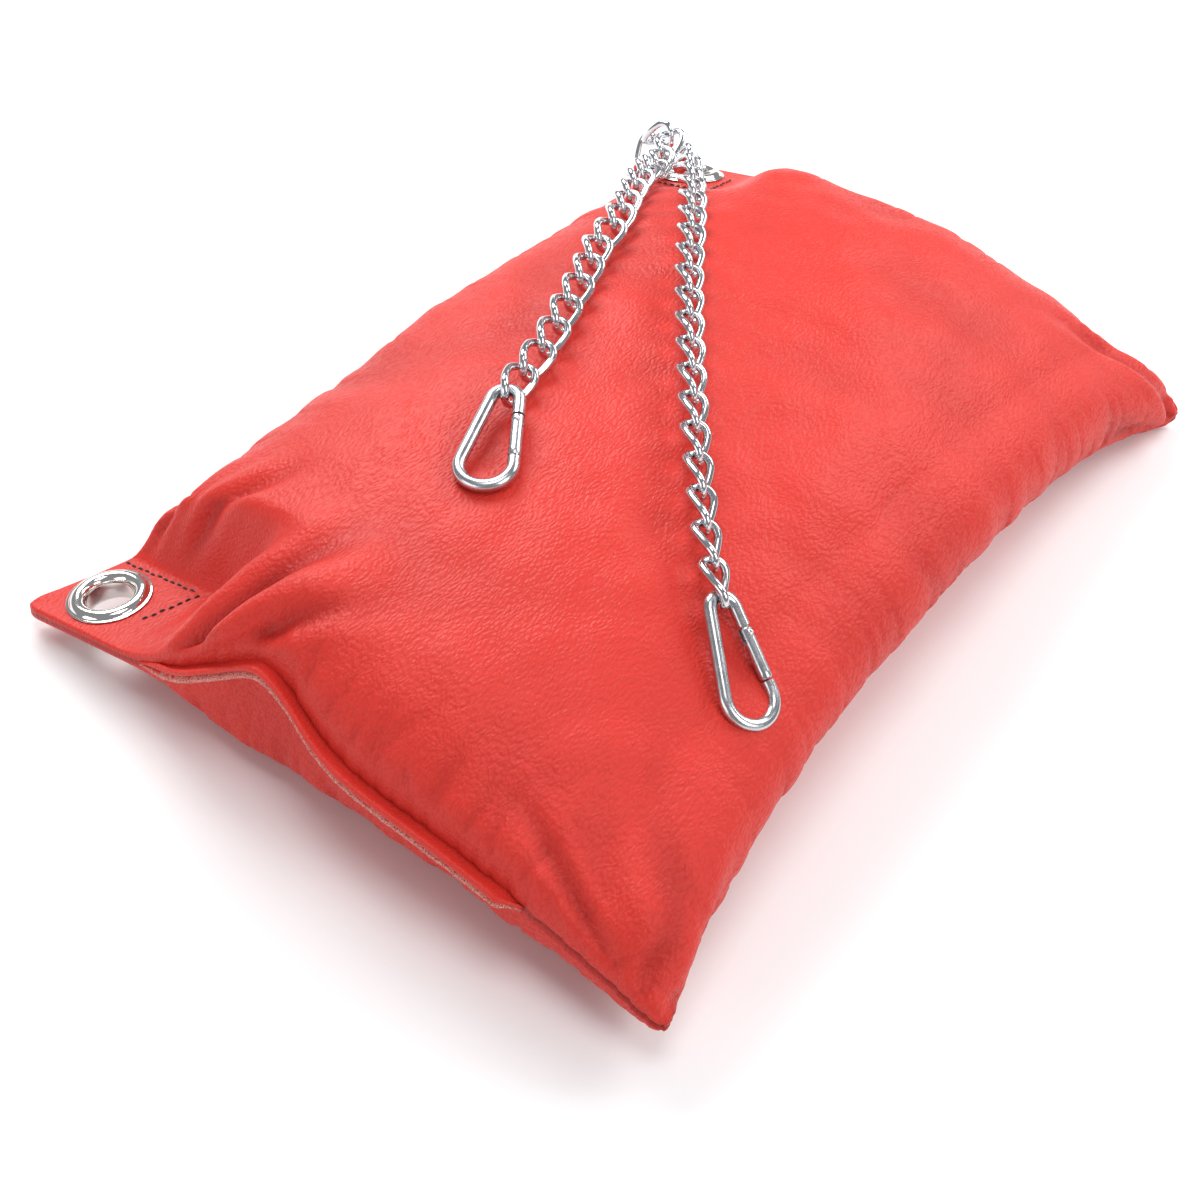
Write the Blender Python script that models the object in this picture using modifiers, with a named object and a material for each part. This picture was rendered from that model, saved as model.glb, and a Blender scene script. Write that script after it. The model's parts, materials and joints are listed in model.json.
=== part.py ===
"""Stuffed leather hanging bag: two leather panels, two eyeleted corner flaps, one curb chain, two snap hooks.

Metres, Z up. X is the short side, Y the long side; the bag lies on Z = 0.
"""

import math

import bmesh
import bpy
import numpy as np
from mathutils import Matrix, Vector

# ---------------------------------------------------------------- driving sizes
WIDTH = 0.372  # short side of the cover, tip to tip
LENGTH = 0.535  # long side of the cover, tip to tip
CROWN = 0.0575  # height that the stuffing adds above the seam plane
BELLY = 0.084  # depth that it adds below, cut flat by the ground
SEAM_LIFT = 0.0317  # how far the side seams ride above the corners
LEATHER = 0.0014
FOLDED = 0.0032  # panel with its turned-in allowance, in the corner flaps
SEAM_HALF = 0.0016  # half of the space between the outer faces at a turned seam
FLAP_HALF = 0.0035  # the same where the folded allowances lie between the panels
FLAP_X, FLAP_Y, FLAP_FAR_Y = 0.064, 0.056, 0.064  # corner flaps, along the short and the long side
FLAP_BLEND = 0.038
FLAP_STEP = 0.022  # shorter rise of the filling behind the near flap
EAR_AT, EAR_WIDTH = -0.20, 0.185  # where the closing strip kinks up, and how far it spreads
EAR_LIFT, EAR_IN = 0.015, 0.012
PULL_SIDE = 0.029  # how far the filled long sides draw in
PULL_NEAR, PULL_FAR = 0.001, 0.013  # the same for the two short sides

LEATHER_HOLE_R = 0.0130

WIRE = 0.0038  # chain wire diameter
PITCH = 0.0190
LINK_GAP = 0.0006
LINK_END_R = 0.0066  # centre line radius of a link's end
TWIST = math.radians(90)
DELTA = WIRE + LINK_GAP
LINK_LEN = PITCH + DELTA  # centre line length of a link
RIGHT_LINKS = 21
LEFT_LINKS = 22
CHAIN_LIFT = 0.0093  # chain axis above the leather

HOOK_WIRE = 0.0060
HOOK_LEN = 0.0560  # centre line length of a snap hook
HOOK_NARROW_R, HOOK_WIDE_R = 0.0065, 0.0120
GATE_FROM, GATE_TO = 0.0126, 0.0333  # along the straight gate side

# corner points of the seam plane: A near left, B near right, C far right, D far left
CORNER = {
    "A": np.array([-0.491 * WIDTH, -0.482 * LENGTH, 0.010]),
    "B": np.array([0.489 * WIDTH, -0.494 * LENGTH, 0.024]),
    "C": np.array([0.484 * WIDTH, 0.496 * LENGTH, 0.006]),
    "D": np.array([-0.403 * WIDTH, 0.4045 * LENGTH, 0.044]),
}
SLOPE_A = (0.22, 0.0)  # rise of flap A along +X and +Y
SLOPE_D = (0.25, -0.25)
EYELET_A = CORNER["A"][:2] + (0.0345, 0.0245)
EYELET_D = CORNER["D"][:2] + (0.0330, -0.0270)

# ---------------------------------------------------------------- clean start
for old in list(bpy.data.objects):
    bpy.data.objects.remove(old, do_unlink=True)
for old in list(bpy.data.collections):
    bpy.data.collections.remove(old)
scene = bpy.context.scene
parts = bpy.data.collections.new("leather_hanging_bag")
cutters = bpy.data.collections.new("cutters")
scene.collection.children.link(parts)
scene.collection.children.link(cutters)
cutters.hide_render = True


def material(name, colour, metallic, roughness):
    made = bpy.data.materials.new(name)
    made.use_nodes = True
    shader = made.node_tree.nodes["Principled BSDF"]
    shader.inputs["Base Color"].default_value = (*colour, 1)
    shader.inputs["Metallic"].default_value = metallic
    shader.inputs["Roughness"].default_value = roughness
    made.diffuse_color = (*colour, 1)
    return made


RED = material("red_leather", (0.62, 0.045, 0.035), 0.0, 0.45)
RED_INSIDE = material("leather_allowance", (0.72, 0.30, 0.26), 0.0, 0.8)
FILL = material("textile_stuffing", (0.55, 0.53, 0.50), 0.0, 0.95)
THREAD = material("black_thread", (0.01, 0.01, 0.01), 0.0, 0.7)
NICKEL = material("nickel_plated", (0.72, 0.70, 0.67), 1.0, 0.12)
ZINC = material("zinc_plated_chain", (0.70, 0.70, 0.70), 1.0, 0.25)
ZINC_HOOK = material("zinc_plated_hook", (0.62, 0.62, 0.62), 1.0, 0.32)


def add(name, mesh, mat, where=parts):
    obj = bpy.data.objects.new(name, mesh)
    mesh.materials.append(mat)
    where.objects.link(obj)
    return obj


def cutter(name, mesh):
    obj = bpy.data.objects.new(name, mesh)
    cutters.objects.link(obj)
    obj.hide_render = True
    obj.display_type = "WIRE"
    return obj


def mesh_from(name, points, faces):
    mesh = bpy.data.meshes.new(name)
    mesh.from_pydata([tuple(map(float, p)) for p in points], [], faces)
    work = bmesh.new()
    work.from_mesh(mesh)
    bmesh.ops.recalc_face_normals(work, faces=work.faces)
    work.to_mesh(mesh)
    work.free()
    return mesh


# ---------------------------------------------------------------- shape of the filled cover
U_FLAP = -1 + 2 * FLAP_X / WIDTH
V_NEAR = -1 + 2 * FLAP_Y / LENGTH
V_FAR = 1 - 2 * FLAP_FAR_Y / LENGTH


def smooth(x):
    x = min(max(x, 0.0), 1.0)
    return x * x * (3 - 2 * x)


def plan(u, v):
    """Seam plane corner blend, with the sides drawn in by the filling."""
    s, t = (u + 1) / 2, (v + 1) / 2
    p = (CORNER["A"] * (1 - s) + CORNER["B"] * s) * (1 - t) + (CORNER["D"] * (1 - s) + CORNER["C"] * s) * t
    pull = PULL_NEAR if v < 0 else PULL_FAR
    x = p[0] - u * abs(u) * PULL_SIDE * (1 - abs(v) ** 3.5)
    y = p[1] - v * abs(v) * pull * (1 - abs(u) ** 3.5)
    return x, y, p[2]


def masks(u, v):
    """0 inside a corner flap, 1 away from it, for the near and the far flap."""
    du = smooth((u - U_FLAP) * WIDTH / 2 / FLAP_BLEND)
    near = smooth((v - V_NEAR) * LENGTH / 2 / FLAP_STEP)
    far = smooth((V_FAR - v) * LENGTH / 2 / FLAP_BLEND)
    return 1 - (1 - du) * (1 - near), 1 - (1 - du) * (1 - far)


def flap_plane(which, x, y):
    corner, slope = (CORNER["A"], SLOPE_A) if which == "A" else (CORNER["D"], SLOPE_D)
    return corner[2] + slope[0] * (x - corner[0]) + slope[1] * (y - corner[1])


def fill(u, v):
    near, far = masks(u, v)
    return max(1 - u * u, 0.0) ** 0.53 * max(1 - v * v, 0.0) ** 0.36 * near * far


def flange(u, v):
    """1 along the stitched closing edge of the near short side."""
    return smooth((v + 1) / -0.04 + 1) * smooth((0.66 - u) / 0.06)


def ear(u, v):
    """The kink of the near short side: 1 at its top, 0 away from it."""
    return math.exp(-(((u - EAR_AT) / EAR_WIDTH) ** 2)) * smooth((-0.60 - v) / 0.40)


def seam_plane(u, v):
    x, y, z = plan(u, v)
    near, far = masks(u, v)
    y += EAR_IN * ear(u, v)
    z += SEAM_LIFT * (1 - (u * v) ** 2) + EAR_LIFT * ear(u, v)
    z = near * z + (1 - near) * flap_plane("A", x, y)
    z = far * z + (1 - far) * flap_plane("D", x, y)
    flat = max(1 - near * far, flange(u, v))
    return x, y, z, SEAM_HALF + (FLAP_HALF - SEAM_HALF) * flat


def top(u, v, extra=0.0):
    x, y, z, half = seam_plane(u, v)
    return np.array([x, y, z + half + CROWN * fill(u, v) + extra])


def bottom(u, v, extra=0.0):
    x, y, z, half = seam_plane(u, v)
    return np.array([x, y, max(z - half - BELLY * fill(u, v), 0.0) + extra])


def top_at(x, y):
    """Top face height and unit normal above a plan point."""

    def height(px, py):
        u, v = 2 * px / WIDTH, 2 * py / LENGTH
        for _ in range(25):
            gx, gy, _z = plan(u, v)
            u = min(max(u + (px - gx) * 2 / WIDTH, -1), 1)
            v = min(max(v + (py - gy) * 2 / LENGTH, -1), 1)
        return top(u, v)[2]

    step = 0.002
    slope_x = (height(x + step, y) - height(x - step, y)) / (2 * step)
    slope_y = (height(x, y + step) - height(x, y - step)) / (2 * step)
    n = np.array([-slope_x, -slope_y, 1.0])
    return height(x, y), n / np.linalg.norm(n)


U_LINES = [-1, -0.975, -0.93, -0.87, -0.77, U_FLAP, -0.57, -0.48, -0.38, -0.26, -0.13, 0.0, 0.13, 0.26, 0.39, 0.51, 0.62, 0.72, 0.81, 0.88, 0.94, 0.98, 1]
V_LINES = [-1, -0.985, -0.95, -0.89, V_NEAR, -0.71, -0.63, -0.54, -0.43, -0.31, -0.19, -0.06, 0.06, 0.19, 0.31, 0.43, 0.54, 0.63, 0.71, V_FAR, 0.88, 0.94, 0.98, 1]


def grid(name, at, flip):
    points = [at(u, v) for v in V_LINES for u in U_LINES]
    n = len(U_LINES)
    faces = []
    for j in range(len(V_LINES) - 1):
        for i in range(n - 1):
            a, b = j * n + i, j * n + i + 1
            face = (a, b, b + n, a + n)
            faces.append(face[::-1] if flip else face)
    mesh = bpy.data.meshes.new(name)
    mesh.from_pydata([tuple(map(float, p)) for p in points], [], faces)
    return mesh


def flap_frame(which):
    """Centre, x axis, y axis and normal of a corner flap at its eyelet."""
    spot, slope = (EYELET_A, SLOPE_A) if which == "A" else (EYELET_D, SLOPE_D)
    n = np.array([-slope[0], -slope[1], 1.0])
    n /= np.linalg.norm(n)
    x = np.array([1.0, 0.0, slope[0]])
    x /= np.linalg.norm(x)
    return np.array([*spot, flap_plane(which, *spot)]), x, np.cross(n, x), n


def placed(origin, x, y, z):
    return Matrix([[float(x[i]), float(y[i]), float(z[i]), float(origin[i])] for i in range(3)] + [[0, 0, 0, 1]])


def prism(name, outline, low, high):
    count = len(outline)
    points = [(x, y, low) for x, y in outline] + [(x, y, high) for x, y in outline]
    faces = [tuple(range(count))[::-1], tuple(range(count, 2 * count))]
    faces += [(i, (i + 1) % count, (i + 1) % count + count, i + count) for i in range(count)]
    return mesh_from(name, points, faces)


def circle(radius, steps):
    return [(radius * math.cos(2 * math.pi * k / steps), radius * math.sin(2 * math.pi * k / steps)) for k in range(steps)]


holes = {}
for which in "AD":
    holes[which] = cutter("hole_" + which, prism("hole_" + which, circle(LEATHER_HOLE_R, 24), -0.012, 0.012))
    holes[which].matrix_world = placed(*flap_frame(which))


def cut_holes(obj, flaps="AD"):
    for which in flaps:
        cut = obj.modifiers.new("hole_" + which, "BOOLEAN")
        cut.operation = "DIFFERENCE"
        cut.solver = "EXACT"
        cut.object = holes[which]


# ---------------------------------------------------------------- leather panels
for name, at, flip in (("cover_top_panel", top, False), ("cover_bottom_panel", bottom, True)):
    panel = add(name, grid(name, at, flip), RED)
    doubled = panel.vertex_groups.new(name="folded_double")
    for index, (u, v) in enumerate((u, v) for v in V_LINES for u in U_LINES):
        in_a_flap = u < U_FLAP + 1e-6 and (v < V_NEAR + 1e-6 or v > V_FAR - 1e-6)
        doubled.add([index], float(in_a_flap), "REPLACE")
    skin = panel.modifiers.new("leather", "SOLIDIFY")
    skin.thickness = FOLDED
    skin.vertex_group = "folded_double"
    skin.thickness_vertex_group = LEATHER / FOLDED
    skin.offset = -1
    cut_holes(panel)

# ---------------------------------------------------------------- stuffing
steps = [k / 8 - 1 for k in range(17)]


def inner(u, v):
    """Square to rounded square, clear of the seams and the flaps."""
    return 0.83 * u * math.sqrt(1 - v * v / 2), 0.82 * v * math.sqrt(1 - u * u / 2)


upper = [top(*inner(u, v), -0.009) for v in steps for u in steps]
lower = [bottom(*inner(u, v), 0.012) for v in steps for u in steps]
n = len(steps)
faces = []
for j in range(n - 1):
    for i in range(n - 1):
        a, b = j * n + i, j * n + i + 1
        faces.append((a, b, b + n, a + n))
        faces.append((a + n * n, a + n + n * n, b + n + n * n, b + n * n))
ring = [i for i in range(n)] + [j * n + n - 1 for j in range(1, n)] + [(n - 1) * n + i for i in range(n - 2, -1, -1)] + [j * n for j in range(n - 2, 0, -1)]
for a, b in zip(ring, ring[1:] + ring[:1]):
    faces.append((a, a + n * n, b + n * n, b))
add("stuffing", mesh_from("stuffing", upper + lower, faces), FILL)

# ---------------------------------------------------------------- raw closing strip of the near short side
pts, faces = [], []
us = [-0.565] + [u for u in U_LINES if -0.56 < u < 0.59] + [0.595]
edge = np.array([seam_plane(u, -1.0)[:3] for u in U_LINES])
for u in us:
    x, y, z = (np.interp(u, U_LINES, edge[:, k]) for k in range(3))
    for dy, dz in ((0.0050, 0.0016), (-0.0090, 0.0016), (-0.0095, 0.0), (-0.0090, -0.0016), (0.0050, -0.0016)):
        pts.append((x, y + dy, z + dz))
for k in range(len(us) - 1):
    for i in range(5):
        a, b = k * 5 + i, k * 5 + (i + 1) % 5
        faces.append((a, b, b + 5, a + 5))
faces += [tuple(range(5)), tuple(range(len(pts) - 5, len(pts)))]
add("closing_strip", mesh_from("closing_strip", pts, faces), RED_INSIDE)

# ---------------------------------------------------------------- black stitching across the corner flaps
for which, name in (("A", "near_corner_stitching"), ("D", "far_corner_stitching")):
    sign = 1 if which == "A" else -1
    edge_v = -1 if which == "A" else 1
    inner_v = V_NEAR - 0.012 if which == "A" else V_FAR + 0.012
    u_in = U_FLAP - 0.014
    line = [(u, inner_v) for u in np.linspace(-0.975, u_in, 17)] + [(u_in, v) for v in np.linspace(inner_v, edge_v * 0.985, 15)[1:]]
    path = []
    _c, _x, _y, n_flap = flap_frame(which)
    for k, (u, v) in enumerate(line):
        x, y, z, _h = seam_plane(u, v)
        path.append(np.array([x, y, z]) + n_flap * (FLAP_HALF + 0.0007 + 0.0003 * (k % 2)))
    curve = bpy.data.curves.new(name, "CURVE")
    curve.dimensions = "3D"
    curve.bevel_depth = 0.0005
    curve.bevel_resolution = 0
    curve.use_fill_caps = True
    spline = curve.splines.new("POLY")
    spline.points.add(len(path) - 1)
    for point, p in zip(spline.points, path):
        point.co = (*map(float, p), 1)
    add(name, curve, THREAD)


# ---------------------------------------------------------------- eyelets and their back washers
def turned(name, profile, mat, steps=24):
    points, faces = [], []
    count = len(profile)
    for k in range(steps):
        a = 2 * math.pi * k / steps
        points += [(r * math.cos(a), r * math.sin(a), z) for r, z in profile]
    for k in range(steps):
        for i in range(count):
            a, b = k * count + i, k * count + (i + 1) % count
            c, d = ((k + 1) % steps) * count + (i + 1) % count, ((k + 1) % steps) * count + i
            faces.append((a, b, c, d))
    return add(name, mesh_from(name, points, faces), mat)


EYELET = [(11.0, 2.0), (11.7, 5.0), (13.6, 6.7), (16.4, 6.8), (18.6, 5.4), (20.0, 3.75), (13.2, 3.75), (12.4, 3.3), (12.4, -4.95), (15.0, -5.05), (14.6, -6.2), (12.2, -6.5), (11.0, -5.0)]
WASHER = [(12.75, -3.7), (19.5, -3.7), (19.5, -4.7), (12.75, -4.7)]
for which, side in (("A", "near"), ("D", "far")):
    frame = placed(*flap_frame(which))
    ring_obj = turned(side + "_eyelet", [(r / 1000, z / 1000) for r, z in EYELET], NICKEL)
    ring_obj.matrix_world = frame
    back = turned(side + "_eyelet_washer", [(r / 1000, z / 1000) for r, z in WASHER], NICKEL)
    back.matrix_world = frame


# ---------------------------------------------------------------- chain
def link_curve(name, start):
    """Closed twisted loop along local X; local Y is -w, local Z is n."""
    curve = bpy.data.curves.new(name, "CURVE")
    curve.dimensions = "3D"
    curve.bevel_depth = WIRE / 2
    curve.bevel_resolution = 1
    outline = []
    r = LINK_END_R
    for k in range(5):
        a = math.radians(180 - 90 + 45 * k)  # near end, over the top of the loop
        outline.append((r + r * math.cos(a), r * math.sin(a)))
    outline.append((LINK_LEN / 2, -r))
    for k in range(5):
        a = math.radians(-90 + 45 * k)
        outline.append((LINK_LEN - r + r * math.cos(a), r * math.sin(a)))
    outline.append((LINK_LEN / 2, r))
    spline = curve.splines.new("POLY")
    spline.points.add(len(outline) - 1)
    spline.use_cyclic_u = True
    for point, (x, side) in zip(spline.points, outline):
        turn = start + TWIST * x / LINK_LEN
        point.co = (x, -side * math.cos(turn), side * math.sin(turn), 1)
    curve.materials.append(ZINC)
    return curve


def unit(v):
    v = np.asarray(v, float)
    return v / np.linalg.norm(v)


def add_link(name, curve, near, t, n):
    obj = bpy.data.objects.new(name, curve)
    parts.objects.link(obj)
    obj.matrix_world = placed(near, t, np.cross(n, t), n)
    return obj


CENTRE_D, FLAP_DX, FLAP_DY, N_D = flap_frame("D")


def in_flap(azimuth):
    """Unit direction in flap D's plane with this compass angle."""
    a = math.radians(azimuth)
    d = np.array([math.cos(a), math.sin(a), 0.0])
    return unit(d - N_D * (d @ N_D))


link_shape = link_curve("link", 0.0)

# the link that stands in the far eyelet
BELOW = 0.0090
low_end = CENTRE_D - N_D * BELOW
high_end = low_end + N_D * LINK_LEN
w0 = in_flap(5)
add_link("chain_link_eyelet", link_shape, low_end, N_D, np.cross(w0, N_D))


def over_bag(plan_points, start, rise, rise_len):
    """Dense path that leaves start with this slope and then lies on the bag, one CHAIN_LIFT above the leather."""
    pts = [start[:2]] + [np.array(p) for p in plan_points]
    dense = []
    for k in range(len(pts) - 1):
        p0 = pts[max(k - 1, 0)]
        p1, p2 = pts[k], pts[k + 1]
        p3 = pts[min(k + 2, len(pts) - 1)]
        for s in np.linspace(0, 1, 12, endpoint=False):
            dense.append(0.5 * (2 * p1 + (p2 - p0) * s + (2 * p0 - 5 * p1 + 4 * p2 - p3) * s**2 + (3 * p1 - p0 - 3 * p2 + p3) * s**3))
    way = unit(pts[-1] - pts[-2])
    dense += [pts[-1] + way * d for d in np.arange(0, 0.12, 0.004)]
    out, run = [], 0.0
    for k, p in enumerate(dense):
        run += np.linalg.norm(p - dense[k - 1]) if k else 0.0
        z, nrm = top_at(*p)
        out.append([p[0], p[1], max(z + CHAIN_LIFT / nrm[2], start[2] + rise * min(run, rise_len)) if k else start[2]])
    out = np.array(out)
    for _ in range(3):  # ease the corners without going under the lift
        mid = (out[:-2, 2] + out[2:, 2]) / 2
        out[1:-1, 2] = np.maximum(out[1:-1, 2], mid)
    return out


def next_link(far_end, n_before, t):
    """Near end and frame of the next link: its near wire crosses the far wire of the link before at a right angle."""
    w = unit(np.cross(t, n_before))
    return far_end - np.cross(n_before, w) * DELTA, w, np.cross(w, t)


def roll_to(w, t, wanted, most):
    """Turn the frame about t toward a wanted normal, at most so far."""
    n = np.cross(w, t)
    aim = unit(wanted - t * (wanted @ t))
    angle = max(-most, min(most, math.atan2(np.cross(n, aim) @ t, n @ aim)))
    n = n * math.cos(angle) + np.cross(t, n) * math.sin(angle)
    return unit(np.cross(t, n)), n


def reach(path, start, after, length):
    """First point of the path, from index after on, that lies this far from start."""
    k = after
    while k < len(path) - 2 and np.linalg.norm(path[k + 1] - start) < length:
        k += 1
    lo, hi = 0.0, 1.0
    for _ in range(30):
        m = (lo + hi) / 2
        if np.linalg.norm(path[k] + (path[k + 1] - path[k]) * m - start) < length:
            lo = m
        else:
            hi = m
    return path[k] + (path[k + 1] - path[k]) * hi, k


def lay(path, count, far_end, n_before, near, w_before, name_of, before, most):
    """Lay links along a path; returns the last link's near end, direction, normal and name."""
    k = 0
    for i in range(count):
        for _ in range(3):
            target, found = reach(path, near, k, PITCH)
            t = unit(target - near)
            if n_before is not None:
                near, w, n = next_link(far_end, n_before, t)
        if n_before is None:
            w = unit(np.cross(t, top_at(*near[:2])[1]))
            n = np.cross(w, t)
        w, n = roll_to(w, t, top_at(*(near + t * PITCH / 2)[:2])[1], math.radians(5))
        k = found
        name = name_of(i)
        add_link(name, link_shape, near, t, n)
        JOINTS.append((name, before, name, near, w, most))
        before, far_end, n_before = name, near + t * LINK_LEN, n
        last = near
        near = far_end - t * DELTA
    return last, t, n, before


JOINTS = []  # name, parent object, child object, pivot, axis, largest angle

# right strand: each pivot is the centre of the link's own near wire
RIGHT_PLAN = [(-0.103, 0.160), (-0.086, 0.133), (-0.068, 0.106), (-0.051, 0.079), (-0.032, 0.048), (-0.011, 0.016), (0.012, -0.017), (0.037, -0.051), (0.060, -0.080), (0.078, -0.101), (0.094, -0.116)]
RIGHT_PLAN = [(x * WIDTH / 0.372, y * LENGTH / 0.535) for x, y in RIGHT_PLAN]
first = high_end - N_D * DELTA
toward = unit(np.array(RIGHT_PLAN[0]) - first[:2])
rise = math.tan(math.radians(42))
right_path = over_bag(RIGHT_PLAN, first, rise, 0.016)
last, t, n, before = lay(right_path, RIGHT_LINKS, None, None, first, None, lambda i: f"chain_right_link_{i + 1:02d}", "chain_link_eyelet", 7.0)
HOOK_DELTA = WIRE / 2 + HOOK_WIRE / 2 + 0.0008
hook_at = {"right": (last + t * (LINK_LEN - HOOK_DELTA), t, n, before)}

# left strand: it leaves below the flap, loops round the side edge and comes back over the bag
LOOP = [(-47, 154), (-2, 154), (45, 154), (99, 154), (153, 154)]  # climb in the loop plane, compass angle of that plane
LEFT_PLAN = [(-0.1345, 0.186), (-0.127, 0.168), (-0.118, 0.146), (-0.108, 0.120), (-0.095, 0.088), (-0.083, 0.061), (-0.077, 0.038), (-0.070, 0.019), (-0.062, -0.002), (-0.055, -0.023), (-0.048, -0.043), (-0.043, -0.062), (-0.040, -0.078), (-0.036, -0.095), (-0.031, -0.112)]
LEFT_PLAN = [(x * WIDTH / 0.372, y * LENGTH / 0.535) for x, y in LEFT_PLAN]
before, near, n_before = "chain_link_eyelet", low_end + N_D * DELTA, None
for k, (climb, compass) in enumerate(LOOP):
    out_dir = in_flap(compass)
    t = out_dir * math.cos(math.radians(climb)) + N_D * math.sin(math.radians(climb))
    if n_before is None:
        w = np.cross(N_D, out_dir)
        n = np.cross(w, t)
    else:
        near, w, n = next_link(far_end, n_before, t)
    name = f"chain_left_link_{k + 1:02d}"
    add_link(name, link_shape, near, t, n)
    JOINTS.append((name, before, name, near, w, 3.0))
    before, far_end, n_before = name, near + t * LINK_LEN, n
pivot = far_end - t * DELTA
left_path = over_bag(LEFT_PLAN, pivot, 0.0, 0.030)
last, t, n, before = lay(left_path, LEFT_LINKS - len(LOOP), far_end, n_before, pivot, None, lambda i: f"chain_left_link_{i + 1 + len(LOOP):02d}", before, 6.0)
hook_at["left"] = (last + t * (LINK_LEN - HOOK_DELTA), t, n, before)

# ---------------------------------------------------------------- snap hooks
NARROW_Y = HOOK_NARROW_R - HOOK_WIDE_R
c1 = np.array([HOOK_NARROW_R, NARROW_Y])
c2 = np.array([HOOK_LEN - HOOK_WIDE_R, 0.0])
span = c2 - c1
lean = math.atan2(span[1], span[0]) + math.asin((HOOK_WIDE_R - HOOK_NARROW_R) / np.linalg.norm(span))
side_n = np.array([-math.sin(lean), math.cos(lean)])
side_t = np.array([math.cos(lean), math.sin(lean)])
gate_root = c1 + side_n * HOOK_NARROW_R
PIVOT_2D = gate_root + side_t * GATE_FROM
NOSE_2D = gate_root + side_t * GATE_TO


def arc(centre, radius, a0, a1, steps):
    return [centre + radius * np.array([math.cos(a), math.sin(a)]) for a in np.linspace(a0, a1, steps)]


up = math.atan2(side_n[1], side_n[0])
body_line = [NOSE_2D + side_t * 0.0006] + arc(c2, HOOK_WIDE_R, up, -math.pi / 2, 9) + arc(c1, HOOK_NARROW_R, -math.pi / 2, -2 * math.pi + up, 8) + [PIVOT_2D - side_t * 0.0036]


def bar(name, line, depth, sides_res, z=0.0):
    curve = bpy.data.curves.new(name, "CURVE")
    curve.dimensions = "3D"
    curve.bevel_depth = depth
    curve.bevel_resolution = sides_res
    curve.use_fill_caps = True
    spline = curve.splines.new("POLY")
    spline.points.add(len(line) - 1)
    for point, p in zip(spline.points, line):
        point.co = (float(p[0]), float(p[1]), z, 1)
    holder = bpy.data.objects.new(name + "_curve", curve)
    scene.collection.objects.link(holder)
    bpy.context.view_layer.update()
    mesh = bpy.data.meshes.new_from_object(holder.evaluated_get(bpy.context.evaluated_depsgraph_get()))
    bpy.data.objects.remove(holder, do_unlink=True)
    work = bmesh.new()
    work.from_mesh(mesh)
    bmesh.ops.remove_doubles(work, verts=work.verts, dist=1e-6)
    bmesh.ops.recalc_face_normals(work, faces=work.faces)
    work.to_mesh(mesh)
    work.free()
    return mesh


def boolean(obj, tool, how):
    cut = obj.modifiers.new(how, "BOOLEAN")
    cut.operation = how
    cut.solver = "EXACT"
    cut.object = tool


def slab(centre, along, across, long_from, long_to, wide, low, high):
    pts = [centre + along * long_from - across * wide, centre + along * long_to - across * wide, centre + along * long_to + across * wide, centre + along * long_from + across * wide]
    return [(float(p[0]), float(p[1])) for p in pts], low, high


for side in ("right", "left"):
    at, t_last, n_last, link_name = hook_at[side]
    # the wide end rests on the leather
    head = 0.0 if side == "right" else 5.0
    heading = math.atan2(t_last[1], t_last[0]) + math.radians(head)
    flat_dir = np.array([math.cos(heading), math.sin(heading)])
    tip = at[:2] + flat_dir * (HOOK_LEN - HOOK_WIDE_R)
    z_tip, n_tip = top_at(*tip)
    target = np.array([*tip, 0.0])
    target[2] = z_tip + (HOOK_WIRE / 2 + 0.0016) / n_tip[2]
    t = unit(target - at)
    w = unit(np.cross(t, n_tip))
    n = np.cross(w, t)
    y_axis = np.cross(n, t)
    origin = at - y_axis * NARROW_Y  # the narrow end's apex sits in the last link
    frame = placed(origin, t, y_axis, n)
    body = add(f"{side}_hook_body", bar(side + "_body", body_line, HOOK_WIRE / 2, 1), ZINC_HOOK)
    body.matrix_world = frame
    tongue = cutter(side + "_tongue", prism(side + "_tongue", slab(PIVOT_2D, side_t, side_n, -0.0050, 0.0018, 0.0018, 0, 0)[0], -0.0009, 0.0009))
    tongue.matrix_world = frame
    pin_hole = cutter(side + "_pin_hole", prism(side + "_pin_hole", [(PIVOT_2D[0] + x, PIVOT_2D[1] + y) for x, y in circle(0.00135, 10)], -0.01, 0.01))
    pin_hole.matrix_world = frame
    boolean(body, tongue, "UNION")
    boolean(body, pin_hole, "DIFFERENCE")
    gate = add(f"{side}_gate", bar(side + "_gate", [PIVOT_2D - side_t * 0.0030, NOSE_2D - side_t * 0.0003], HOOK_WIRE / 2, 2), ZINC_HOOK)
    gate.matrix_world = frame
    slot = cutter(side + "_slot", prism(side + "_slot", slab(PIVOT_2D, side_t, side_n, -0.0080, 0.0042, 0.0060, 0, 0)[0], -0.0013, 0.0013))
    slot.matrix_world = frame
    boolean(gate, slot, "DIFFERENCE")
    boolean(gate, pin_hole, "DIFFERENCE")
    rivet = add(f"{side}_gate_rivet", prism(side + "_rivet", [(PIVOT_2D[0] + x, PIVOT_2D[1] + y) for x, y in circle(0.0010, 10)], -0.0031, 0.0031), ZINC_HOOK)
    rivet.matrix_world = frame
    JOINTS.append((f"{side}_hook_swing", link_name, f"{side}_hook_body", at, w, 30.0))
    pivot3 = origin + t * PIVOT_2D[0] + y_axis * PIVOT_2D[1]
    JOINTS.append((f"{side}_gate_hinge", f"{side}_hook_body", f"{side}_gate", pivot3, -n, 22.0))

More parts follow.
